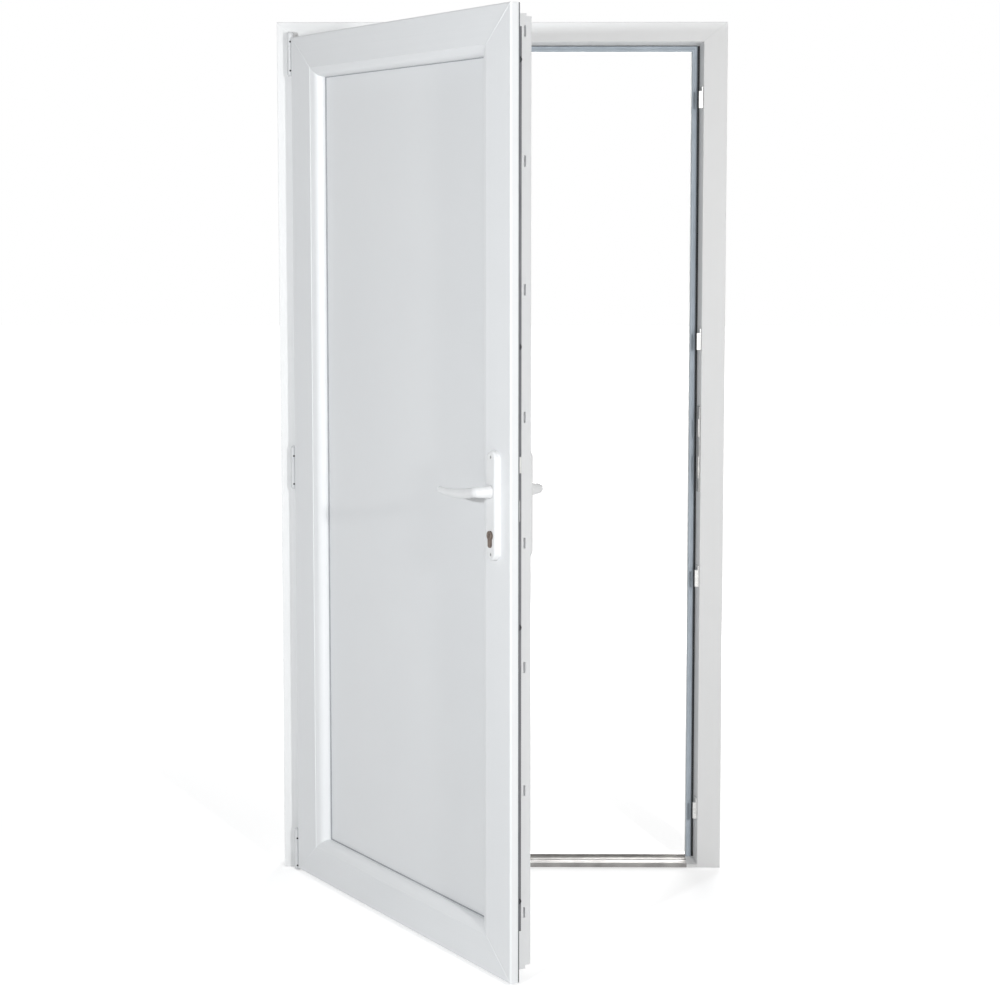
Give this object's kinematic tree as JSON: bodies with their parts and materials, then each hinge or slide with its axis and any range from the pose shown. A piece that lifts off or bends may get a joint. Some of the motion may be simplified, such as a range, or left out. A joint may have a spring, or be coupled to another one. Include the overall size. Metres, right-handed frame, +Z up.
{
  "type": "hinged exterior door with frame",
  "caption": "White plastic exterior door: welded frame on a low metal threshold, with a hinged flat-panel leaf, lever handles, lock strip with roller cams, keeps and rubber seals.",
  "frame": {"origin": "middle of the threshold's flat underside, half way through the frame's depth", "axes": "+Z up, +X along the threshold from the hinges towards the lock jamb, +Y through the doorway away from the side to which the leaf opens"},
  "size_m": [1.09, 0.9429, 2.09],
  "materials": {
    "white_plastic": "smooth extruded white plastic, satin gloss",
    "panel_white": "flat white panel skin, satin gloss",
    "grey_seal": "matte blue-grey rubber",
    "dark_seal": "matte dark grey rubber",
    "mill_aluminium": "extruded, natural anodised",
    "end_plastic": "moulded white plastic",
    "lock_steel": "dark zinc-plated steel strip",
    "keep_steel": "zinc-plated steel",
    "white_metal": "white powder coat",
    "cylinder_nickel": "dull nickel-plated brass"
  },
  "bodies": {
    "frame": {"left_jamb": "white_plastic", "right_jamb": "white_plastic", "frame_head": "white_plastic", "threshold": "mill_aluminium", "threshold_end_left": "end_plastic", "threshold_end_right": "end_plastic", "stop_seal_left": "grey_seal", "stop_seal_right": "grey_seal", "stop_seal_head": "grey_seal", "keep_top": "keep_steel", "keep_upper": "keep_steel", "keep_lower": "keep_steel", "keep_bottom": "keep_steel", "main_strike": "keep_steel", "hinge_frame_top": "white_metal", "hinge_frame_middle": "white_metal", "hinge_frame_bottom": "white_metal"},
    "leaf": {"hinge_stile": "white_plastic", "lock_stile": "white_plastic", "top_rail": "white_plastic", "bottom_rail": "white_plastic", "door_panel": "panel_white", "hinge_bead": "white_plastic", "lock_bead": "white_plastic", "top_bead": "white_plastic", "bottom_bead": "white_plastic", "panel_seal_inside": "dark_seal", "panel_seal_outside": "dark_seal", "flange_seal": "dark_seal", "lock_strip": "lock_steel", "roller_cams": "lock_steel", "latch_bolt": "keep_steel", "dead_bolt": "keep_steel", "hinge_leaf_top": "white_metal", "hinge_leaf_middle": "white_metal", "hinge_leaf_bottom": "white_metal", "inside_plate": "white_metal", "outside_plate": "white_metal", "lock_cylinder": "cylinder_nickel"},
    "levers": {"inside_lever": "white_metal", "outside_lever": "white_metal", "lever_spindle": "keep_steel"}
  },
  "joints": [
    {"name": "leaf_swing", "type": "hinge", "parent": "frame", "child": "leaf", "pos_m": [-0.51, -0.0565, 1.01], "axis": [0, 0, -1], "range_deg": [-57.6, 62.4]},
    {"name": "lever_turn", "type": "hinge", "parent": "leaf", "child": "levers", "pos_m": [0.02149, -0.84081, 1.048], "axis": [-0.8443, -0.5358, 0], "range_deg": [0, 40], "stiffness_Nm_per_rad": 2, "springref_deg": -28.65}
  ]
}
